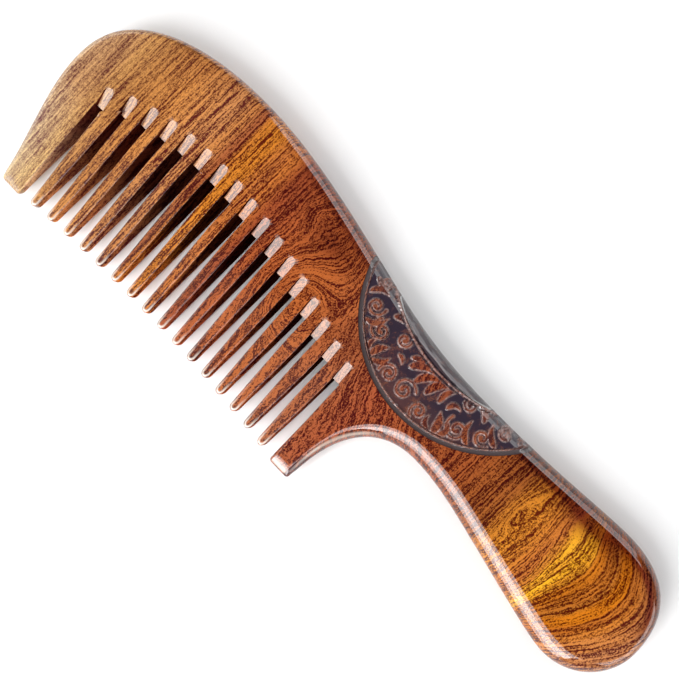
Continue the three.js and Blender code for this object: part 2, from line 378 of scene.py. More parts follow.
def triangulate(boundary, lines, spacing, clear_of):
    """Triangles that fill a closed outline and follow the given lines. Grid points fill the rest,
    where clear_of says that there is room."""
    boundary = np.array(boundary, float)
    low, high = boundary.min(0), boundary.max(0)
    xs = np.arange(low[0] + spacing / 2, high[0], spacing)
    ys = np.arange(low[1] + spacing / 2, high[1], spacing * ROW_SPACING)
    grid = np.array([(x + (row % 2) * spacing / 2, y) for row, y in enumerate(ys) for x in xs])
    grid = grid[inside(boundary, grid)]
    rim = Edge(np.vstack([boundary, boundary[:1]]), np.ones(len(boundary) + 1))
    grid = grid[rim.nearest(grid)[0] > RIM_CLEARANCE * spacing]
    grid = grid[clear_of(grid)]
    points = list(boundary)
    count = len(boundary)
    links = [(i, (i + 1) % count) for i in range(count)]
    for line in lines:
        links += [(len(points) + i, len(points) + i + 1) for i in range(len(line) - 1)]
        points += list(line)
    points += list(grid)
    places, _, faces, *_ = delaunay_2d_cdt([Vector(p) for p in points], links, [], 0, 1e-5)
    places = np.array([tuple(p) for p in places])
    faces = np.array([tuple(f) for f in faces])
    faces = faces[inside(boundary, places[faces].mean(1))]
    a, b, c = (places[faces[:, k]] for k in range(3))
    turn = (b[:, 0] - a[:, 0]) * (c[:, 1] - a[:, 1]) - (b[:, 1] - a[:, 1]) * (c[:, 0] - a[:, 0])
    faces[turn < 0] = faces[turn < 0][:, ::-1]
    used, faces = np.unique(faces[np.abs(turn) > 1e-9], return_inverse=True)
    return places[used], faces.reshape(-1, 3)


def two_sided(places, faces, tops):
    """A closed plate: tops are the front's points, mirrored for the back, with walls between them."""
    count = len(places)
    joined = tops[:, 2] < FLAT
    back_index = np.arange(count) + np.where(joined, 0, count)
    backs = tops * (1, 1, -1)
    front = [tuple(f) for f in faces]
    back = [tuple(back_index[list(f)][::-1]) for f in faces]
    edges = dict.fromkeys((a, b) for f in front for a, b in zip(f, f[1:] + f[:1]))
    walls = []
    for a, b in edges:
        if (b, a) in edges or (joined[a] and joined[b]):
            continue
        ring = [a, back_index[a], back_index[b], b]
        walls.append(tuple(dict.fromkeys(int(i) for i in ring)))
    verts = np.vstack([tops, backs])
    faces = [tuple(int(i) for i in f) for f in front + back] + walls
    used = sorted({i for f in faces for i in f})
    index = {old: new for new, old in enumerate(used)}
    return verts[used], [tuple(index[i] for i in f) for f in faces]


def plate(boundary, lines, spacing, height=board_height, clear_of=away_from_rounding, carve=None):
    """A plate from its outline. carve gives how deep the surface is cut, along its normal."""
    places, faces = triangulate(boundary, lines, spacing, clear_of)
    tops = np.column_stack([places, height(places)])
    if carve is None:
        return two_sided(places, faces, tops)
    steps = [np.array([NUDGE, 0]), np.array([0, NUDGE])]
    slopes = [(height(places + s) - height(places - s)) / (2 * NUDGE) for s in steps]
    normals = np.column_stack([-slopes[0], -slopes[1], np.ones(len(places))])
    normals /= np.linalg.norm(normals, axis=1)[:, None]
    flat = tops[:, 2] < FLAT
    normals[flat, 2] = 0
    tops = tops - normals * carve(places)[:, None]
    tops[flat, 2] = 0
    return two_sided(places, faces, tops)


# ---- the wood's figure

# Where the grain winds: x, y, size in x and y, and how far it is pushed sideways.
HEAD_SWIRLS = [
    (-15, 1, 8, 9, 22),  # the knot beside the neck
    (-25, 19, 4, 4, 3),
]
HANDLE_SWIRLS = [
    (54.6, 4, 1.7, 5.5, 2.6),  # the eye
    (60.5, 4, 2.6, 8, -1.7),
    (64.5, 12, 2.4, 6, 2.6),
    (66, -4, 2.2, 5, -1.6),
]
ARC_MIDDLE_Y = 6.5  # the arcs in the handle's end bulge most here
NECK_LEAN = 0.55  # how far the grain leans over in the neck


def figure(points):
    """Coordinates across the grain and along it. The grain runs along the teeth, leans over in the
    neck, winds round a knot and an eye, and bulges towards the handle's end."""
    x, y, z = points.T
    lean = NECK_LEAN * smooth(-12, 14, x + 0.4 * (y - 4)) * (1 - smooth(24, 38, x))
    across = x + 0.10 * z + lean * (y + 12) + hills(x, y, HEAD_SWIRLS)
    return across + handle_waves(x, y), y


def handle_waves(x, y):
    """The sideways shift of the grain in the handle."""
    above = np.maximum(0, y - ARC_MIDDLE_Y)
    below = np.maximum(0, ARC_MIDDLE_Y - y)
    upper_arcs = 0.085 * above**2 / (1 + 0.035 * above)
    lower_arcs = 0.034 * below**2 / (1 + 0.012 * below)
    return hills(x, y, HANDLE_SWIRLS) + smooth(62, 76, x) * (upper_arcs + lower_arcs)


def tone_place(points):
    """Where along the comb each place takes its main colour from: the colours follow the arcs."""
    x, y, _ = points.T
    return x + smooth(62, 72, x) * handle_waves(x, y)


# Patches that are partly darker wood and partly painted shade: x, y, size in x and y, strength.
DARK_WOOD_AND_SHADE_PATCHES = [
    (-18, 16, 7, 4, 0.62), (69, 13.5, 9, 2.6, 0.55), (60, 13.4, 14, 1.2, 0.25), (2, 4, 9, 5, 0.25),
    (75, 0, 2, 8, 0.2), (-70, 27, 20, 5, 0.25), (-60, -12, 14, 8, 0.2), (-33, 20, 6, 5, 0.1),
]


BACK_EDGE_PAINTED_SHADE = 0.62  # how strongly painted shade darkens the back edge
BACK_PAINTED_SHADE_LINE = (3.1, 0.6)  # a line of painted shade runs this far in from it, this wide
TIP_HIGHLIGHT_RING = (0.32, 0.2)  # a painted highlight ring runs this far in from a tooth's tip, this wide
RECESS_HIGHLIGHT_LINE = (1.0, 0.35)  # and a painted highlight line this far in from the recess's steep side


def dark_wood_and_painted_shade(points, depth):
    """Where the colour is darkened: painted shade along the back edge and in the handle's upper part,
    with a line of painted shade inside the back edge's rounding, and patches that are partly darker
    wood and partly painted shade. depth is how far in from the board's edge the points lie, here and
    below."""
    x, y, _ = points.T
    broad = (BACK_EDGE_PAINTED_SHADE + 0.18 * smooth(40, 60, x)) * (1 - 0.6 * smooth(2, 5, depth))
    broad = broad * (1 - smooth(5, 11, depth))
    upper = smooth(0, 9, y) * (0.85 * smooth(-48, -25, x) + 0.15 * smooth(40, 56, x))
    shares = upper * (broad + 0.38 * bell(depth, *BACK_PAINTED_SHADE_LINE)) + hills(x, y, DARK_WOOD_AND_SHADE_PATCHES)
    return np.clip(shares, 0, 1)


def pale_wood_and_painted_highlight(points, depth):
    """Where the wood turns paler towards the round end and down the outer guard tooth, partly paler
    wood and partly a painted reflection, with a painted highlight along the round end's edge and on
    the groove floors.
    """
    x, y, _ = points.T
    low = smooth(4, -26, y) * (1 - smooth(-84, -74, x))
    rim = (1 - smooth(0.5, 4, depth)) * (1 - smooth(-90, -80, x))
    grooves = in_grooves(points) * smooth(-40, -10, x)
    return np.clip(0.72 * low + 0.25 * rim + 0.35 * grooves, 0, 1)


def in_grooves(points):
    """Which points lie on the floor of a groove."""
    found = np.zeros(len(points), bool)
    for slot in range(SLOT_COUNT):
        along, side = in_ramp_frame(slot, points[:, :2])
        half = ramp_half_width(slot) - RAMP_WALL / 2
        found |= (along > 0.1) & (along < RAMP_LENGTH + 0.3) & (side < half)
    return found & (np.abs(points[:, 2]) > 1)


def tip_highlight_ring(points, number):
    """A painted highlight ring just inside the outline of a tooth's tip, fading out up the tooth."""
    root, tip = tooth_axis(number)
    upward = (root - tip) / np.linalg.norm(root - tip)
    offset = points[:, :2] - tip
    above = offset @ upward
    beside = np.abs(offset @ (-upward[1], upward[0]))
    in_bullet = np.maximum(0, 1 - above / BULLET_LENGTH)
    depth = TIP_HALF_WIDTH * (1 - np.hypot(beside / TIP_HALF_WIDTH, in_bullet))
    near = (above > -0.2) & (beside < TIP_HALF_WIDTH + 0.2)
    return near * bell(depth, *TIP_HIGHLIGHT_RING) * (1 - smooth(1.2, 4.5, above))


def painted_highlight(points, depth):
    """Painted highlights: a ring round the tips, a line on the recess's steep side, a band on the inner
    guard's chamfer and on the groove floors, and a faint painted reflection on the teeth."""
    x, y, z = points.T
    above_tips = y - TIP_Y
    rings = np.maximum.reduce([tip_highlight_ring(points, number) for number in range(TOOTH_COUNT)])
    recess = bell(depth, *RECESS_HIGHLIGHT_LINE) * hump(x, (12, 13), (17, 24)) * hump(y, (-28, -26), (-9, -4))
    chamfer = hump(x, (7.2, 7.8), (11.2, 12)) * hump(above_tips, (0.1, 0.5), (0.9, 1.7))
    grooves = in_grooves(points) * (0.16 + 0.08 * smooth(-40, -10, x))
    on_teeth = hump(x, (-80.5, -78.5), (6.5, 7.5)) * (1 - smooth(-9, 2, y))
    shares = rings + 0.75 * recess + 0.7 * chamfer + grooves + 0.025 * on_teeth
    return (np.abs(z) > 0.35) * np.clip(shares, 0, 1)


SHARP_ANGLE = math.radians(14)  # faces that meet at more than this keep a crisp edge


def new_object(name, data):
    made = bpy.data.objects.new(name, data)
    bpy.context.scene.collection.objects.link(made)
    return made


def store(mesh, name, values):
    """Writes one value or one vector for each vertex, for the materials to read."""
    values = np.asarray(values, float)
    kind, key = ("FLOAT", "value") if values.ndim == 1 else ("FLOAT_VECTOR", "vector")
    mesh.attributes.new(name, kind, "POINT").data.foreach_set(key, values.ravel())


def is_slot_wall(face):
    """Whether a face belongs to the sawn wall of a slot or a groove."""
    x, y, _ = np.array(face.center) / MM
    in_slots = SLOT_WALLS_X[0] < x < SLOT_WALLS_X[1] and SLOT_WALLS_Y[0] < y < SLOT_WALLS_Y[1]
    return in_slots and abs(face.normal.z) < 0.5


def make_mesh(name, verts, faces, marks):
    """A mesh object with the attributes that the materials read. marks gives the carving's."""
    mesh = bpy.data.meshes.new(name)
    lifted = verts + (0, 0, MID_Z)
    mesh.from_pydata((lifted * MM).tolist(), [], faces)
    mesh.validate()
    verts = np.array([v.co for v in mesh.vertices]) / MM - (0, 0, MID_Z)
    across, along = figure(verts)
    depth, _ = EDGE.nearest(verts[:, :2])
    store(mesh, "grain", np.column_stack([across, along, verts[:, 2]]))
    store(mesh, "place", verts)
    store(mesh, "tone", tone_place(verts))
    # darker wood and painted shade
    store(mesh, "dark_wood_and_painted_shade", dark_wood_and_painted_shade(verts, depth))
    # paler wood, painted reflection and painted highlight
    store(mesh, "pale_wood_and_painted_highlight", pale_wood_and_painted_highlight(verts, depth))
    # painted highlights and painted reflection
    store(mesh, "painted_highlight", painted_highlight(verts, depth))
    for mark, values in marks(verts).items():
        store(mesh, mark, values)
    for face in mesh.polygons:
        # slot walls take the second material: sawn wood with painted shade
        face.material_index = int(is_slot_wall(face))
    mesh.shade_smooth()
    mesh.set_sharp_from_angle(angle=SHARP_ANGLE)
    return new_object(name, mesh)


def no_marks(verts):
    return {}


def add_piece(node, solid, material, marks=no_marks):
    mesh_materials = [material, SAWN_WOOD_IN_PAINTED_SHADE]
    piece = make_mesh(node + "_wood", *solid, marks)
    if not any(face.material_index for face in piece.data.polygons):
        mesh_materials = [material]
    for each in mesh_materials:
        piece.data.materials.append(each)
    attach(piece, "root")
    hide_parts(node)
    return piece


# ---- materials


def linear(red, green, blue):
    """A screen colour, 0 to 255, as scene-linear light."""
    parts = (np.array([red, green, blue]) / 255.0).clip(0, 1)
    parts = np.where(parts <= 0.04045, parts / 12.92, ((parts + 0.055) / 1.055) ** 2.4)
    return (*parts, 1.0)


class Tree:
    """Builds a node material, one call to a node."""

    def __init__(self, name):
        self.material = bpy.data.materials.new(name)
        self.material.use_nodes = True
        self.nodes = self.material.node_tree.nodes
        self.links = self.material.node_tree.links
        self.nodes.clear()

    def add(self, kind, inputs=None, **settings):
        made = self.nodes.new("ShaderNode" + kind)
        for key, value in settings.items():
            setattr(made, key, value)
        for key, value in (inputs or {}).items():
            if isinstance(value, bpy.types.NodeSocket):
                self.links.new(value, made.inputs[key])
            else:
                made.inputs[key].default_value = value
        return made

    def math(self, operation, first, second, clamp=False):
        made = self.add("Math", {0: first, 1: second}, operation=operation, use_clamp=clamp)
        return made.outputs[0]

    def plus(self, first, second, clamp=False):
        return self.math("ADD", first, second, clamp)

    def minus(self, first, second):
        return self.math("SUBTRACT", first, second)

    def times(self, first, second):
        return self.math("MULTIPLY", first, second)

    def stored(self, name, output="Fac"):
        """A value or a vector that make_mesh stored on the mesh."""
        return self.add("Attribute", attribute_name=name).outputs[output]

    def noise(self, vector, scale, detail=2.0, roughness=0.5):
        """Noise whose grain is stretched by scale, per millimetre in each direction."""
        stretched = self.add("Mapping", {"Vector": vector, "Scale": scale}, vector_type="POINT")
        inputs = {"Vector": stretched.outputs[0], "Scale": 1.0, "Detail": detail}
        return self.add("TexNoise", {**inputs, "Roughness": roughness}).outputs["Fac"]

    def remap(self, value, low, high, to_low=0.0, to_high=1.0):
        inputs = {0: value, 1: low, 2: high, 3: to_low, 4: to_high}
        return self.add("MapRange", inputs, interpolation_type="SMOOTHSTEP").outputs[0]

    def mix(self, share, first, second, blend="MIX"):
        made = self.add("Mix", {0: share, 6: first, 7: second}, data_type="RGBA", blend_type=blend)
        return made.outputs[2]

    def tint(self, colour, other):
        return self.mix(1.0, colour, other, "MULTIPLY")

    def ramp(self, value, stops):
        made = self.add("ValToRGB", {0: value})
        elements = made.color_ramp.elements
        while len(elements) < len(stops):
            elements.new(0.5)
        for element, (position, colour) in zip(elements, sorted(stops)):
            element.position = position
            element.color = colour
        return made.outputs[0]


# How the wood looks in this light along the comb: place in millimetres, and screen colour.
TONES = [
    (-95, (180, 134, 97)), (-87, (169, 119, 80)), (-82, (172, 118, 70)), (-76, (163, 104, 57)),
    (-68, (172, 107, 56)), (-57, (168, 106, 64)), (-53, (168, 102, 55)), (-50.5, (132, 66, 40)),
    (-47.5, (174, 100, 34)), (-43.5, (172, 98, 32)), (-41, (158, 86, 42)), (-38, (168, 92, 40)),
    (-34, (130, 58, 32)), (-26, (146, 70, 35)), (-14, (150, 74, 34)), (4, (140, 72, 42)),
    (13, (136, 63, 38)), (40, (130, 62, 29)), (50, (132, 69, 29)), (57, (182, 108, 32)),
    (65, (160, 86, 37)), (69.5, (202, 136, 30)), (72, (196, 132, 28)), (74, (168, 94, 28)),
    (75, (172, 93, 20)), (78, (154, 82, 26)), (80, (154, 86, 30)), (82.5, (172, 92, 16)),
    (84.5, (150, 76, 24)), (88, (172, 98, 38)), (93, (164, 100, 62)),
]
LIGHT_LEVEL = 1.12  # how bright pure white would look on the comb's face
NOISE_WEIGHTS = (1.2, 3.9, 4.6, 3.8, 3.6)  # from the broadest bands to the finest specks
ROUND_END_SHARES = (0.3, 0.25, 0.45, 0.5, 0.45)  # how much of each is left at the round end
DARK_THREADS = (0.26, 0.10, 0.28, 1)
LIGHT_THREADS = (1.76, 2.0, 1.85, 1)
# the tint of darker wood and of painted shade
DARK_WOOD_AND_SHADE_TINT = (0.26, 0.13, 0.26, 1)
# the tint of paler wood and of painted highlight
PALE_WOOD_AND_HIGHLIGHT_TINT = (1.55, 2.3, 3.2, 1)
# the colour of the painted highlights
PAINTED_HIGHLIGHT_COLOUR = (240, 224, 208)
STAIN_COLOUR = (52, 42, 54)
# pale carving edges: stain rubbed off, and a painted highlight
STAIN_WORN = (116, 72, 58)
EDGE_WEAR_AND_HIGHLIGHT_COLOUR = (172, 140, 132)
BORDER_COLOUR = (86, 77, 77)
OPEN_SHADE = (1.35, 1.3, 1.7, 1)  # the painted shade tint of the sawn walls at the tips
SHALLOW_SHADE = (0.32, 0.12, 0.22, 1)  # and near the roots, at the head's round end
DEEP_SHADE = (0.17, 0.11, 0.18, 1)
LENGTH = HIGH[0] - LOW[0]


def in_this_light(colour):
    """The paint colour that looks like the given screen colour in the studio's light."""
    return (*(np.array(linear(*colour))[:3] / LIGHT_LEVEL), 1.0)


def wood(name, stained=False, sawn=False):
    """Lacquered wood, woven from dark and light threads. Sawn wood is dull, and painted shade darkens
    it in the slots. Stained wood is nearly black in the carving's ground, and paler along its edges,
    where the stain is rubbed off and a painted highlight lies."""
    tree = Tree(name)
    spot = tree.stored("place", "Vector")
    way = tree.stored("tone")
    waver = tree.minus(tree.noise(spot, (0.35, 0.45, 0.35), 3.0, 0.6), 0.5)
    unrest = tree.times(tree.remap(way, -44, -22, 0.7, 3.2), tree.remap(way, 18, 40, 1, 0.3))
    shift = tree.add("CombineXYZ", {0: tree.times(waver, unrest)}).outputs[0]
    shifted = tree.add("VectorMath", {0: tree.stored("grain", "Vector"), 1: shift}, operation="ADD")
    grain = shifted.outputs[0]
    band = tree.noise(grain, (0.42, 0.022, 0.06), 3.0)
    vein = tree.noise(grain, (1.5, 0.05, 0.2), 2.0, 0.6)
    thread = tree.noise(grain, (2.8, 0.10, 0.5), 1.0)
    fibre = tree.noise(spot, (2.2, 0.9, 1.0), 2.0, 0.6)
    speck = tree.noise(spot, (3.4, 2.6, 2.6), 1.0)

    wander = tree.times(tree.minus(band, 0.5), tree.remap(way, 60, 72, 4.0, 10.0))
    place = tree.plus(way, wander)
    along = tree.plus(tree.math("DIVIDE", place, LENGTH), 0.5)
    tone = tree.ramp(along, [(x / LENGTH + 0.5, in_this_light(colour)) for x, colour in TONES])

    weave = 0.0
    noises = (band, vein, thread, fibre, speck)
    for noise, weight, at_round_end in zip(noises, NOISE_WEIGHTS, ROUND_END_SHARES):
        share = tree.remap(way, -90, -42, weight * at_round_end, weight)
        weave = tree.plus(weave, tree.times(tree.minus(noise, 0.5), share))
    pale_wood_and_highlight = tree.stored("pale_wood_and_painted_highlight")
    calm = tree.minus(1.0, tree.times(pale_wood_and_highlight, 0.5))
    threads = tree.remap(tree.times(weave, calm), -0.95, 0.95)
    colour = tree.tint(tone, tree.mix(threads, DARK_THREADS, LIGHT_THREADS))
    # darker wood and painted shade
    colour = tree.mix(tree.stored("dark_wood_and_painted_shade"), colour, tree.tint(colour, DARK_WOOD_AND_SHADE_TINT))
    # paler wood, painted reflection and painted highlight
    colour = tree.mix(pale_wood_and_highlight, colour, tree.tint(colour, PALE_WOOD_AND_HIGHLIGHT_TINT))
    # painted shade on the slot walls, darker towards the roots and away from the round end
    if sawn:
        height = tree.add("SeparateXYZ", {0: spot}).outputs[1]
        depth_tint = tree.mix(tree.remap(place, -78, -50), SHALLOW_SHADE, DEEP_SHADE)
        shade = tree.mix(tree.remap(height, -21, -3), OPEN_SHADE, depth_tint)
        colour = tree.tint(colour, shade)
    else:
        # painted highlights and painted reflection
        painted_highlight_share = tree.times(tree.stored("painted_highlight"), 0.85)
        colour = tree.mix(painted_highlight_share, colour, in_this_light(PAINTED_HIGHLIGHT_COLOUR))
    if stained:
        blotch = tree.noise(spot, (0.5, 0.5, 0.5), 2.0)
        uneven = tree.plus(tree.times(blotch, 0.7), tree.times(speck, 0.3))
        wear = tree.plus(tree.remap(uneven, 0.5, 0.75), tree.stored("wear"), clamp=True)
        stain = tree.mix(wear, in_this_light(STAIN_COLOUR), in_this_light(STAIN_WORN))
        colour = tree.mix(tree.stored("stain"), colour, stain)
        colour = tree.mix(tree.stored("border"), colour, in_this_light(BORDER_COLOUR))
        # pale carving edges: stain rubbed off, and a painted highlight
        edges = tree.times(tree.stored("edge_wear_and_highlight"), tree.remap(fibre, 0.3, 0.6))
        colour = tree.mix(edges, colour, in_this_light(EDGE_WEAR_AND_HIGHLIGHT_COLOUR))

    relief = tree.plus(tree.times(vein, 0.5), tree.times(fibre, 0.5))
    skin = tree.add("Bump", {"Strength": 0.25, "Distance": 0.00002, "Height": relief})
    ripple = tree.noise(grain, (0.25, 0.12, 0.25), 2.0)
    film = tree.add("Bump", {"Strength": 0.35, "Distance": 0.00006, "Height": ripple})
    inputs = {
        "Base Color": colour,
        "Roughness": tree.remap(fibre, 0.3, 0.7, 0.38, 0.52),
        "Specular IOR Level": 0.0,
        "Coat Weight": 0.0 if sawn else 0.9,
        "Coat Roughness": 0.07,
        "Coat IOR": 1.5,
        "Normal": skin.outputs[0],
        "Coat Normal": film.outputs[0],
    }
    shader = tree.add("BsdfPrincipled", inputs)
    tree.add("OutputMaterial", {"Surface": shader.outputs[0]})
    return tree.material


PLAIN_WOOD = wood("lacquered_wood")
CARVED_WOOD = wood("carved_stained_wood", stained=True)
# sawn wood, darkened by painted shade in the slots
SAWN_WOOD_IN_PAINTED_SHADE = wood("sawn_wood_painted_shade", sawn=True)

# ---- the medallion

MEDALLION_CENTRE = np.array([20, 30.6])
MEDALLION_RADIUS = 30.7
BOSS_CENTRE = np.array([21, 49.8])
BOSS_RADIUS = 36.0
BORDER_WIDTH = 1.05  # the groove at the rim
RIDGE_WIDTH = 0.35
GROUND_DEPTH = 0.5
FLUTE_SPACING = 1.0  # of the shallow flutes that follow the boss's edge
FLUTE_DEPTH = 0.07
BOSS_SINK = 0.12  # the boss's own edge lies this much lower
SCROLL_REACH = 1.8  # how far round a scroll the ground is compared with it
STROKE_SPACING = 0.12
CURL_WIDTH = 0.5  # half the width of a scroll's line
HEAD_HANDLE_X = 26


def from_medallion(places):
    return np.hypot(*(places - MEDALLION_CENTRE).T)


def from_boss(places):
    return np.hypot(*(places - BOSS_CENTRE).T)


def arc(centre, radius, start, end, spacing=EDGE_SPACING):
    """Points of a circle's arc between two of its points, by the shorter way."""
    first, last = (math.atan2(*(np.array(p) - centre)[::-1]) for p in (start, end))
    turn = (last - first + math.pi) % (2 * math.pi) - math.pi
    steps = max(2, round(abs(turn) * radius / spacing))
    angles = first + turn * np.linspace(0, 1, steps + 1)
    return centre + radius * np.column_stack([np.cos(angles), np.sin(angles)])


def stroke(points, widths):
    """A raised line of varying half width, as points and half widths at even distances."""
    return evenly(np.column_stack([points, widths]), STROKE_SPACING)


def curl(centre, radius, start, turns, hand):
    """A scroll that winds in towards its centre and ends in a round eye. start is in degrees."""
    t = np.linspace(0, 1, 60)
    angle = math.radians(start) + hand * t * turns * 2 * math.pi
    reach = radius * (1 - 0.86 * t**0.8)
    points = np.array(centre) + np.column_stack([np.cos(angle), np.sin(angle)]) * reach[:, None]
    return stroke(points, CURL_WIDTH * (0.75 + 0.6 * t**3))


def leaf(base, tip, width, bend):
    """A pointed leaf from base to tip, bent sideways by bend times its length."""
    base, tip = np.array(base, float), np.array(tip, float)
    t = np.linspace(0, 1, 24)
    run = tip - base
    side = np.array([-run[1], run[0]]) * bend
    points = base + t[:, None] * run + np.sin(math.pi * t)[:, None] * side
    return stroke(points, width * np.sin(math.pi * t**0.7) ** 0.8 + 0.08)


def on_rim(degrees, radius):
    """A point of the medallion, by its angle from straight down and its distance from the centre."""
    angle = math.radians(degrees)
    return MEDALLION_CENTRE + radius * np.array([math.sin(angle), -math.cos(angle)])


# Scrolls: degrees from straight down, distance from the centre, radius, start angle, turns, hand.
CURLS = [
    (-64, 25.4, 1.9, 200, 1.3, 1), (-51, 26.6, 2.3, 20, 1.4, -1), (-56, 20.6, 1.8, 300, 1.3, 1),
    (-38.5, 25.6, 2.6, 130, 1.45, 1), (-17, 26.7, 2.3, 200, 1.4, -1), (-6, 25.8, 2.7, 30, 1.5, 1),
    (6.5, 26.9, 2.1, 250, 1.3, -1), (27, 26.2, 2.8, 150, 1.5, 1), (40, 26.9, 2.1, 340, 1.35, -1),
    (51.5, 26.2, 1.9, 80, 1.3, 1), (-31, 20.6, 1.9, 60, 1.3, -1), (31, 20.2, 1.8, 120, 1.3, 1),
]
# Leaves: degrees and distance of the base, the same for the tip, half width and bend.
LEAVES = [
    (-28.5, 29, -29, 24.4, 0.75, 0.12), (-26.5, 29, -23.5, 24.9, 0.6, -0.2),
    (-31, 29, -34.5, 26.8, 0.5, 0.25), (17, 29.2, 16, 24, 0.8, -0.1), (15, 29.2, 12, 26.0, 0.5, 0.25),
    (19, 29.2, 22, 25.2, 0.6, -0.25), (33.5, 29.2, 34, 23.4, 0.6, 0.2), (46, 29, 45.5, 23.8, 0.6, 0.15),
    (57, 29, 58, 25.2, 0.5, -0.2), (-45, 29.2, -44.5, 23.6, 0.6, -0.2),
    (-57.5, 28.8, -57, 24, 0.55, 0.2), (-46, 22.4, -39, 19.4, 0.6, 0.2),
    (-49, 19.8, -40, 17.2, 0.55, -0.15), (-15, 21.8, 0, 18.2, 0.8, 0.16),
    (-19, 20.4, -8, 18, 0.55, 0.12), (-6, 23, 8, 18.6, 0.75, 0.2), (3, 22.8, 14, 18.4, 0.8, 0.18),
    (12, 22.6, 20, 18.2, 0.6, 0.15), (18, 22.8, 26, 22.0, 0.5, 0.3), (40, 23.4, 36, 19.6, 0.55, -0.2),
    (-24, 22.8, -18, 23.2, 0.4, 0.2),
]


def scrollwork():
    """Freely invented scrolls and leaves."""
    strokes = []
    for degrees, reach, radius, start, turns, hand in CURLS:
        strokes.append(curl(on_rim(degrees, reach), radius * 1.08, start, turns, hand))
    for base, base_reach, tip, tip_reach, width, bend in LEAVES:
        strokes.append(leaf(on_rim(base, base_reach), on_rim(tip, tip_reach), width * 1.25, bend))
    return strokes


def inside_scrolls(places):
    """How far each place lies inside the nearest scroll or leaf; below 0 on the ground."""
    depth = np.full(len(places), -1.0)
    for path in scrollwork():
        low = path[:, :2].min(0) - SCROLL_REACH
        high = path[:, :2].max(0) + SCROLL_REACH
        near = np.nonzero(np.all((places > low) & (places < high), axis=1))[0]
        gap = np.hypot(*(places[near, None, :] - path[None, :, :2]).transpose(2, 0, 1))
        depth[near] = np.maximum(depth[near], (path[None, :, 2] - gap).max(1))
    return depth


def carving(places):
    """How high each place of the medallion stands, from 0 in the ground to 1 at the board's own
    surface, and how much the stain has rubbed off along the edges there, with a painted highlight."""
    rim = MEDALLION_RADIUS - from_medallion(places)
    boss = from_boss(places) - BOSS_RADIUS
    ridge_end = BORDER_WIDTH + RIDGE_WIDTH
    ridge = hump(rim, (BORDER_WIDTH - 0.1, BORDER_WIDTH + 0.1), (ridge_end - 0.1, ridge_end + 0.1))
    lip = hump(boss, (0.3, 0.45), (0.85, 1.0))
    field = smooth(ridge_end + 0.1, ridge_end + 0.4, rim) * smooth(1.2, 1.5, boss)
    depth = inside_scrolls(places)
    standing = np.maximum.reduce([ridge, lip, field * smooth(-0.2, 0.12, depth)])
    outline = bell(depth, 0.02, 0.15) * field
    edge_wear_and_highlight = np.maximum.reduce([outline, 0.6 * ridge, 0.8 * lip])
    return standing, edge_wear_and_highlight


def carving_depth(places):
    return GROUND_DEPTH * (1 - carving(places)[0])


# Where the stain has been rubbed through to the wood: x, y, size in x and y, strength.
RUBBED = [
    (20.5, 10.6, 4.2, 1.9, 0.9), (9.8, 7.2, 2.8, 2.6, 0.6), (35, 8.2, 1.4, 2.0, 0.9),
    (24.5, 2.8, 1.6, 1.0, 0.8),
]


def medallion_marks(verts):
    """The ground and the grooves are stained almost black, the tops less, and rubbed in places."""
    x, y, _ = verts.T
    places = verts[:, :2]
    standing, edge_wear_and_highlight = carving(places)
    rubbed = np.clip(hills(x, y, RUBBED), 0, 1)
    rim = MEDALLION_RADIUS - from_medallion(places)
    border = 1 - smooth(BORDER_WIDTH - 0.15, BORDER_WIDTH + 0.05, rim)
    stain = 1 - 0.6 * standing - rubbed * (0.2 + 0.2 * standing)
    wear = 0.35 * (1 - smooth(2, 9, y)) + 0.3 * standing
    return {"stain": stain, "edge_wear_and_highlight": 0.75 * edge_wear_and_highlight, "border": 0.85 * border, "wear": wear}


def boss_marks(verts):
    zero = np.zeros(len(verts))
    return {"stain": zero + 0.94, "edge_wear_and_highlight": zero, "border": zero + 0.3, "wear": zero}


# ---- where the pieces meet

edge_points = EDGE.points
INNER_GUARD_END = np.array([18.5, -11.8])  # its root reaches the finger recess here
last_corner = np.array(slot_corners(SLOT_COUNT - 1)[1])
inner_seam = INNER_GUARD_END - last_corner
beside_inner_seam = (edge_points - last_corner) @ (-inner_seam[1], inner_seam[0])

at_outer_seam = EDGE.crossings(edge_points[:, 1] - slot_root(0))[0]
rim_crossings = EDGE.crossings(from_medallion(edge_points) - MEDALLION_RADIUS)
at_rim_left, at_rim_right = [c for c in rim_crossings if EDGE.at(c)[1] > 10]
at_boss_left, at_boss_right = EDGE.crossings(from_boss(edge_points) - BOSS_RADIUS)
neck_crossings = EDGE.crossings(edge_points[:, 0] - HEAD_HANDLE_X)
at_neck = [c for c in neck_crossings if EDGE.at(c)[1] < 0][0]
at_inner_seam = [c for c in EDGE.crossings(beside_inner_seam) if 12 < EDGE.at(c)[0] < 20][-1]
neck_offset = HEAD_HANDLE_X - MEDALLION_CENTRE[0]
neck_on_rim = MEDALLION_CENTRE + (neck_offset, -math.sqrt(MEDALLION_RADIUS**2 - neck_offset**2))


def straight(start, end, spacing=1.0):
    return evenly([start, end], spacing)


def loop(*parts):
    """A closed outline from its stretches, each of which starts where the last one ends."""
    return np.vstack([np.array(part)[:-1] for part in parts])


# ---- pieces


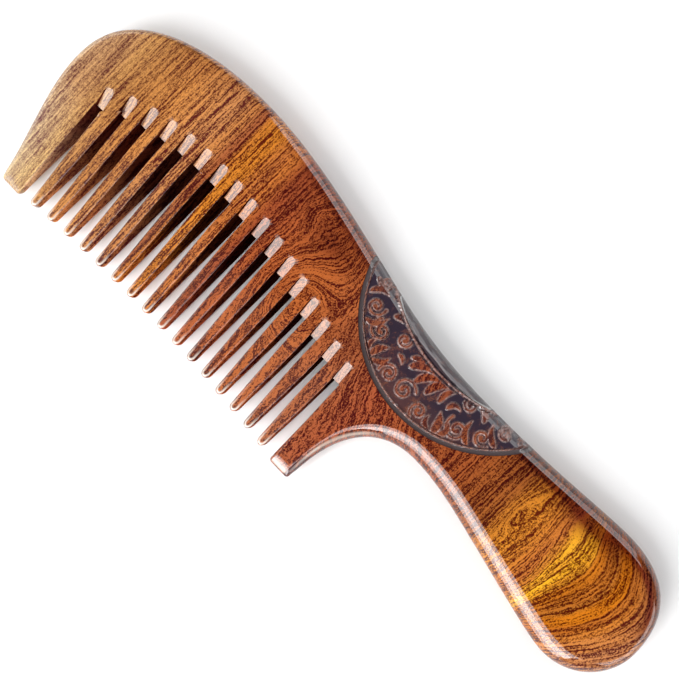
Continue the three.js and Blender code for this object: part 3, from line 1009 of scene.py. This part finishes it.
def head_back():
    roots = [end for slot in reversed(range(SLOT_COUNT)) for end in slot_corners(slot)[::-1]]
    rim = arc(MEDALLION_CENTRE, MEDALLION_RADIUS, EDGE.at(at_rim_left), neck_on_rim)
    outline = loop(
        EDGE.stretch(at_outer_seam, at_rim_left),
        rim,
        straight(neck_on_rim, EDGE.at(at_neck)),
        EDGE.stretch(at_neck, at_inner_seam),
        straight(EDGE.at(at_inner_seam), roots[0]),
        roots,
        straight(roots[-1], EDGE.at(at_outer_seam)),
    )
    lines = EDGE.rings(at_outer_seam, at_rim_left) + EDGE.rings(at_neck, at_inner_seam)
    for slot in range(SLOT_COUNT):
        lines += [ramp_outline(slot, 0), ramp_outline(slot, RAMP_WALL)]

    def height(places):
        return cut_ramps(places, board_height(places))

    return plate(outline, lines, 0.85, height)


def handle():
    rim = arc(MEDALLION_CENTRE, MEDALLION_RADIUS, neck_on_rim, EDGE.at(at_rim_right))
    seam = straight(EDGE.at(at_neck), neck_on_rim)
    outline = loop(EDGE.stretch(at_rim_right, at_neck), seam, rim)
    return plate(outline, EDGE.rings(at_rim_right, at_neck), 0.6)


def medallion():
    outline = loop(
        EDGE.stretch(at_rim_left, at_boss_left),
        arc(BOSS_CENTRE, BOSS_RADIUS, EDGE.at(at_boss_left), EDGE.at(at_boss_right)),
        EDGE.stretch(at_boss_right, at_rim_right),
        arc(MEDALLION_CENTRE, MEDALLION_RADIUS, EDGE.at(at_rim_right), EDGE.at(at_rim_left)),
    )
    rings = EDGE.rings(at_rim_left, at_rim_right, CARVED_ROUND_STEPS)
    return plate(outline, rings, 0.2, carve=carving_depth)


def boss():
    outline = loop(
        EDGE.stretch(at_boss_left, at_boss_right),
        arc(BOSS_CENTRE, BOSS_RADIUS, EDGE.at(at_boss_right), EDGE.at(at_boss_left)),
    )
    rings = EDGE.rings(at_boss_left, at_boss_right, CARVED_ROUND_STEPS)

    def sunk(places):
        inward = BOSS_RADIUS - from_boss(places)
        fluting = FLUTE_DEPTH * (0.5 - 0.5 * np.cos(2 * math.pi * inward / FLUTE_SPACING))
        within = smooth(0, 0.5, inward)
        return BOSS_SINK * (1 - within) + fluting * within

    return plate(outline, rings, 0.25, carve=sunk)


CHAMFER_SLOPE = 0.52
CORNER_POINTS = 12
OUTER_GUARD_TIP_X = -80.1  # the slot's side of the tip
OUTER_GUARD_CORNER = 1.4
INNER_GUARD_TIP_X = 6.9
INNER_GUARD_CORNER = 0.9


def guard(first, last, seam_start, tip_line, inner, chamfer):
    """A guard tooth: the board's outer edge from first to last, and an inner edge, ever more
    rounded, that runs down the slot and round the tip. A flat chamfer runs across the tip."""
    tip_line = evenly(tip_line, 0.25)
    down = smooth(seam_start[1] - 2, TIP_Y + 3, tip_line[:, 1])
    inner_edge = Edge(tip_line, 0.15 + 0.6 * down, inner)
    chamfer_top = half_depth(TIP_Y + chamfer)

    def height(places):
        chamfer_face = chamfer_top - CHAMFER_SLOPE * (TIP_Y + chamfer - places[:, 1])
        return np.minimum(board_height(places), chamfer_face) * inner_edge.fullness(places)

    def clear(places):
        distance, reach = inner_edge.nearest(places)
        return away_from_rounding(places) & (distance > reach + 0.15)

    edge = EDGE.stretch(first, last)
    if inner > 0:
        closing = straight(tip_line[-1], edge[0], EDGE_SPACING)
        outline = loop(edge, straight(edge[-1], seam_start), tip_line, closing)
    else:
        closing = straight(edge[-1], tip_line[-1], EDGE_SPACING)
        outline = loop(edge, closing, tip_line[::-1], straight(seam_start, edge[0]))
    lines = EDGE.rings(first, last) + inner_edge.rings()
    return plate(outline, lines, 0.45, height, clear)


def rounded_tip(slot_tip_x, outer_tip_x, corner):
    """The end of a guard tooth, from the slot's side to the outer side."""
    step = math.copysign(corner, outer_tip_x - slot_tip_x)

    def turn(x, inward):
        upright = (x, TIP_Y + corner), (x, TIP_Y + corner / 3)
        return bezier(*upright, (x + inward / 3, TIP_Y), (x + inward, TIP_Y), CORNER_POINTS)

    return np.vstack([turn(slot_tip_x, step), turn(outer_tip_x, -step)[::-1]])


def outer_guard():
    corner = slot_corners(0)[0]
    low = EDGE.crossings(edge_points[:, 1] - (TIP_Y + OUTER_GUARD_CORNER))[0]
    tip = rounded_tip(OUTER_GUARD_TIP_X, EDGE.at(low)[0], OUTER_GUARD_CORNER)
    return guard(low, at_outer_seam, corner, np.vstack([corner, tip]), 1, 0.8)


def inner_guard():
    low = EDGE.crossings(edge_points[:, 1] - (TIP_Y + INNER_GUARD_CORNER))[-1]
    tip = rounded_tip(INNER_GUARD_TIP_X, EDGE.at(low)[0], INNER_GUARD_CORNER)
    return guard(at_inner_seam, low, last_corner, np.vstack([last_corner, tip]), -1, 2.0)


CORNER_STEPS = 6
FLANK_STATIONS = 34
BULLET_STATIONS = 9
ROOT_CORNER = 0.14  # how far a tooth's corners are rounded at its root, across and down
LOW_CORNER_DROP = 0.8  # how far down they are rounded low on the flank
NARROWING_POWER = 1.9  # a tooth narrows slowly at first
SLANT_LENGTH = 3.5  # the slant of a tooth's root fades out over this


def tooth_section(half_width, half_thick, round_x, round_z):
    """A rectangle with elliptical corners, as points across and through."""
    turn = np.linspace(0, math.pi / 2, CORNER_STEPS)
    corner_x = half_width - round_x + round_x * np.cos(turn)
    corner_z = half_thick - round_z + round_z * np.sin(turn)
    flat = np.linspace(corner_x[-1], 0, 3)[1:]
    wall = np.linspace(0, corner_z[0], 4)[:-1]
    xs = np.r_[np.full(3, half_width), corner_x, flat]
    zs = np.r_[wall, corner_z, np.full(2, half_thick)]
    quarter = np.column_stack([xs, zs])
    mirrored = quarter[::-1][1:] * (-1, 1)
    upper = np.vstack([quarter, mirrored])
    return np.vstack([upper, upper[::-1][1:-1] * (1, -1)])


def tooth(number):
    left, right = tooth_root(number)
    root, tip = tooth_axis(number)
    root_half = np.linalg.norm(right - left) / 2
    axis = tip - root
    length = np.linalg.norm(axis)
    axis = axis / length
    side = np.array([-axis[1], axis[0]])
    side = side if side[0] > 0 else -side
    slant = (right - left)[1] / (right - left)[0]
    flank_length = length - BULLET_LENGTH
    stations = [(flank_length * t, 1.0, 0.0) for t in np.linspace(0, 1, FLANK_STATIONS)]
    for turn in np.linspace(0, math.pi / 2, BULLET_STATIONS + 2)[1:-1]:
        distance = flank_length + BULLET_LENGTH * math.sin(turn)
        in_rim = 1 - min(1, (length - distance) / TIP_RIM)
        lowered = TIP_RIM_DROP * (1 - math.sqrt(1 - in_rim**2))
        stations.append((distance, math.cos(turn), lowered))
    verts = []
    for distance, narrowing, lowered in stations:
        along = distance / length
        centre = root + axis * distance
        thick = float(half_depth(centre[1])) - lowered
        tapered = min(1, along * 1.05) ** NARROWING_POWER
        width = (root_half + (TIP_HALF_WIDTH - root_half) * tapered) * narrowing
        soft = float(smooth(0.12, 0.85, along))
        reach = min(ROOT_CORNER + (TIP_RIM - ROOT_CORNER) * soft, 0.9 * width)
        drop = ROOT_CORNER + (LOW_CORNER_DROP - ROOT_CORNER) * soft
        drop -= (LOW_CORNER_DROP - TIP_RIM_DROP) * float(smooth(0.8, 0.95, along))
        section = tooth_section(width, thick, reach, drop)
        shear = slant * (1 - float(smooth(0, SLANT_LENGTH, distance)))
        for across, through_z in section:
            place = centre + side * across
            verts.append((place[0], place[1] + shear * across, through_z))
    ring = len(verts) // len(stations)
    faces = [tuple(range(ring))[::-1]]
    for station in range(len(stations) - 1):
        for k in range(ring):
            a = station * ring + k
            b = station * ring + (k + 1) % ring
            faces.append((a, b, b + ring, a + ring))
    verts.append((tip[0], tip[1], 0))
    last = (len(stations) - 1) * ring
    faces += [(last + k, last + (k + 1) % ring, len(verts) - 1) for k in range(ring)]
    return np.array(verts), [f[::-1] for f in faces]


add_piece("head_back", head_back(), PLAIN_WOOD)
add_piece("handle", handle(), PLAIN_WOOD)
add_piece("neck_medallion", medallion(), CARVED_WOOD, medallion_marks)
add_piece("medallion_edge_boss", boss(), CARVED_WOOD, boss_marks)
add_piece("outer_guard_tooth", outer_guard(), PLAIN_WOOD)
add_piece("inner_guard_tooth", inner_guard(), PLAIN_WOOD)
for number in range(TOOTH_COUNT):
    add_piece(f"tooth_{number + 1:02d}", tooth(number), PLAIN_WOOD)

# ---- floor, light and camera

FLOOR_HALF = 3.0
FLOOR_GAP = 0.00005  # below the comb, so that the two faces never lie in one plane


def floor():
    mesh = bpy.data.meshes.new("floor")
    corners = [(-1, -1, 0), (1, -1, 0), (1, 1, 0), (-1, 1, 0)]
    mesh.from_pydata([Vector(corner) * FLOOR_HALF for corner in corners], [], [(0, 1, 2, 3)])
    piece = new_object("floor", mesh)
    piece.location.z = cad_box[0].z - FLOOR_GAP
    tree = Tree("pale_floor")
    shader = tree.add("BsdfPrincipled", {"Base Color": (0.9, 0.9, 0.9, 1), "Roughness": 0.9})
    tree.add("OutputMaterial", {"Surface": shader.outputs[0]})
    mesh.materials.append(tree.material)


def softbox(name, angle, toward, distance, width, height, glow, seen="diffuse"):
    """A rectangular light that faces the comb. angle is its tilt from straight above and toward
    its direction in degrees from +X. A glow of 1 is as bright as white paper. seen tells whether
    it lights the surfaces or only shows in their gloss."""
    data = bpy.data.lights.new(name, "AREA")
    data.shape = "RECTANGLE"
    data.size, data.size_y = width, height
    data.energy = glow * math.pi * width * height
    lamp = new_object(name, data)
    tilt, turn = math.radians(angle), math.radians(toward)
    flat = math.sin(tilt)
    away = Vector((flat * math.cos(turn), flat * math.sin(turn), math.cos(tilt)))
    lamp.location = away * distance
    lamp.rotation_euler = away.to_track_quat("Z", "Y").to_euler()
    lamp.visible_diffuse = seen == "diffuse"
    lamp.visible_glossy = seen == "gloss"
    lamp.visible_transmission = False


def surroundings(strength):
    world = bpy.data.worlds.new("studio")
    bpy.context.scene.world = world
    world.use_nodes = True
    background = world.node_tree.nodes["Background"]
    background.inputs[0].default_value = (0.95, 0.97, 1.0, 1)
    background.inputs[1].default_value = strength
    world.cycles_visibility.glossy = False


CAMERA_PLACE = Vector((0.02546, 0.00769, 0.2682))
CAMERA_AIM = Vector((-0.0016, 0.0023, 0.005))
CAMERA_ROLL = math.radians(46)  # the comb's length runs down to the right at this angle
CAMERA_LENS = 60.46


def camera():
    data = bpy.data.cameras.new("camera")
    data.lens = CAMERA_LENS
    data.sensor_width = 36
    data.clip_start = 0.01
    data.clip_end = 20
    piece = new_object("camera", data)
    view = (CAMERA_AIM - CAMERA_PLACE).normalized()
    upward = Vector((-math.sin(CAMERA_ROLL), math.cos(CAMERA_ROLL), 0))
    right = view.cross(upward).normalized()
    turn = Matrix((right, right.cross(view), -view)).transposed()
    piece.matrix_world = Matrix.Translation(CAMERA_PLACE) @ turn.to_4x4()
    bpy.context.scene.camera = piece


floor()
FRONT, BACK, LEFT, RIGHT = -90, 90, 180, 0
softbox("key_softbox", 46, FRONT - 5, 0.73, 0.45, 0.6, 6.75)
softbox("top_fill", 5, FRONT, 0.9, 0.5, 0.9, 1.7)
softbox("back_fill", 45, BACK, 0.88, 1.2, 0.35, 2.8)
softbox("front_glint_high", 33, FRONT, 0.7, 0.8, 0.21, 7, "gloss")
softbox("front_glint_low", 57, FRONT, 0.7, 0.8, 0.37, 16, "gloss")
softbox("front_glint_side", 82, FRONT, 0.7, 0.7, 0.26, 9, "gloss")
softbox("left_glint", 62, LEFT, 0.7, 0.7, 0.46, 4, "gloss")
softbox("right_glint", 68, RIGHT, 0.7, 0.7, 0.5, 5, "gloss")
softbox("back_glint_high", 29, BACK - 6, 0.7, 0.5, 0.17, 6, "gloss")
softbox("back_glint_low", 62, BACK - 3, 0.7, 0.5, 0.68, 4, "gloss")
surroundings(0.18)
camera()

scene = bpy.context.scene
scene.view_settings.view_transform = "Standard"
